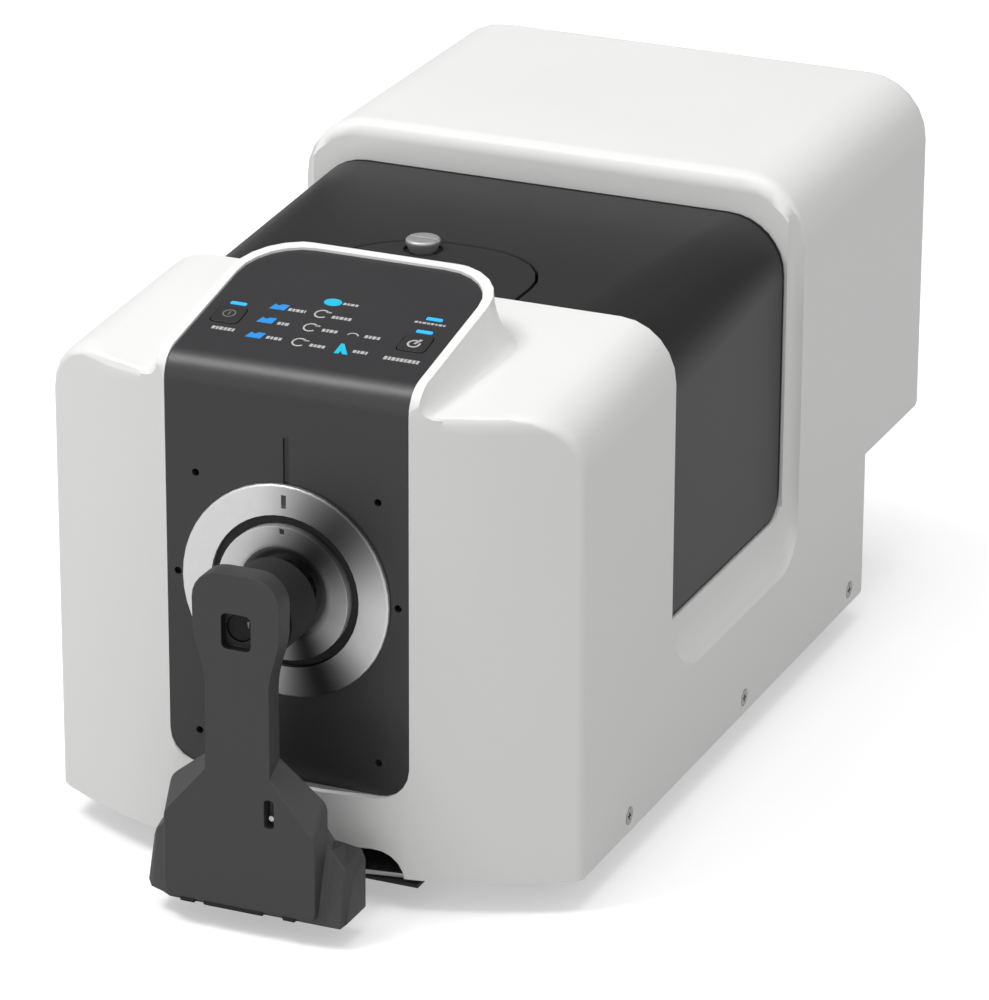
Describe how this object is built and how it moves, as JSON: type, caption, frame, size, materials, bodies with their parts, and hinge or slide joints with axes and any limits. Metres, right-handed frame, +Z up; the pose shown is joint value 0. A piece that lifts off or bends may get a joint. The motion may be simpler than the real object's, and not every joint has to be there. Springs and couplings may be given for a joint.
{
  "type": "benchtop spectrophotometer",
  "caption": "Benchtop spectrophotometer with a sprung front sample arm over a round measuring port, sloping control panel, lift-off saddle lid over the sample chamber and a rear overhang.",
  "frame": {"origin": "middle of the footprint of the whole instrument, arm included, on the table", "axes": "+X to the right of someone facing the control panel, +Y towards the rear, +Z up; the measuring port faces -Y"},
  "size_m": [0.248, 0.5042, 0.2567],
  "materials": {
    "cover_white": "satin moulding with a fine grain",
    "panel_dark": "fine matt texture, charcoal",
    "lid_dark": "fine matt texture, charcoal",
    "arm_dark": "smooth satin, charcoal",
    "satin_silver": "turned and satin anodised",
    "steel": "plated sheet and bar",
    "black_plastic": "matt black",
    "key_black": "satin black key cap",
    "black_rubber": "matt rubber",
    "lamp_blue": "clear light guide, lit blue",
    "sphere_white": "diffuse white lining",
    "board_green": "solder mask",
    "optical_glass": "polished"
  },
  "bodies": {
    "housing": {"main_cover": "cover_white", "front_panel": "panel_dark", "chamber_deck": "lid_dark", "port_ring": "satin_silver", "base_plate": "steel", "optical_bench": "steel", "sphere_stand": "steel", "lamp_housing": "steel", "shutter_motor": "steel", "holder_shaft": "steel", "power_socket": "steel", "usb_b_socket": "steel", "usb_a_socket": "steel", "cover_screw_1": "steel", "cover_screw_2": "steel", "cover_screw_3": "steel", "cover_screw_4": "steel", "cover_screw_5": "steel", "cover_screw_6": "steel", "port_gasket": "black_plastic", "chamber_floor": "black_plastic", "chamber_front_wall": "black_plastic", "chamber_rear_wall": "black_plastic", "flash_capacitor": "black_plastic", "spectrometer_housing": "black_plastic", "rear_panel": "black_plastic", "holder_bracket": "black_plastic", "foot_1": "black_rubber", "foot_2": "black_rubber", "foot_3": "black_rubber", "foot_4": "black_rubber", "power_lamp": "lamp_blue", "measure_lamp": "lamp_blue", "link_lamp": "lamp_blue", "sphere_front": "sphere_white", "sphere_rear": "sphere_white", "control_board": "board_green", "detector_board": "board_green", "main_board": "board_green", "power_board": "board_green", "port_window": "optical_glass", "chamber_window": "optical_glass", "flash_lamp": "optical_glass", "grating": "optical_glass"},
    "arm": {"holder_arm": "arm_dark", "arm_screw": "satin_silver", "arm_spring": "steel", "pad_spring": "steel"},
    "pad": {"sample_pad": "black_rubber"},
    "mask": {"target_mask": "satin_silver"},
    "lid": {"chamber_cover": "lid_dark"},
    "knob": {"cover_knob": "satin_silver"},
    "power_key": {"power_button": "key_black"},
    "measure_key": {"measure_button": "key_black"},
    "shutter": {"shutter_plate": "black_plastic"}
  },
  "joints": [
    {"name": "arm_hinge", "type": "hinge", "parent": "housing", "child": "arm", "pos_m": [0, -0.2339, 0.028], "axis": [1, 0, 0], "range_deg": [0, 80], "stiffness_Nm_per_rad": 0.6, "springref_deg": -20.05},
    {"name": "pad_slide", "type": "slide", "parent": "arm", "child": "pad", "axis": [0, -1, 0], "range_m": [0, 0.0038], "stiffness_N_per_m": 500, "springref_m": -0.002},
    {"name": "mask_turn", "type": "hinge", "parent": "housing", "child": "mask", "pos_m": [0, -0.2039, 0.139], "axis": [0, 1, 0], "range_deg": [0, 25]},
    {"name": "lid_lift", "type": "slide", "parent": "housing", "child": "lid", "axis": [0, 0, 1], "range_m": [0, 0.16]},
    {"name": "knob_turn", "type": "hinge", "parent": "housing", "child": "knob", "pos_m": [-0.0155, -0.0279, 0.236], "axis": [0, 0, 1], "continuous": true},
    {"name": "power_press", "type": "slide", "parent": "housing", "child": "power_key", "axis": [0, 0.2011, -0.9796], "range_m": [0, 0.0008], "stiffness_N_per_m": 800, "springref_m": -0.0005},
    {"name": "measure_press", "type": "slide", "parent": "housing", "child": "measure_key", "axis": [0, 0.2011, -0.9796], "range_m": [0, 0.0008], "stiffness_N_per_m": 800, "springref_m": -0.0005},
    {"name": "shutter_turn", "type": "hinge", "parent": "housing", "child": "shutter", "pos_m": [0.026, -0.0539, 0.139], "axis": [0, 1, 0], "range_deg": [0, 45]}
  ]
}
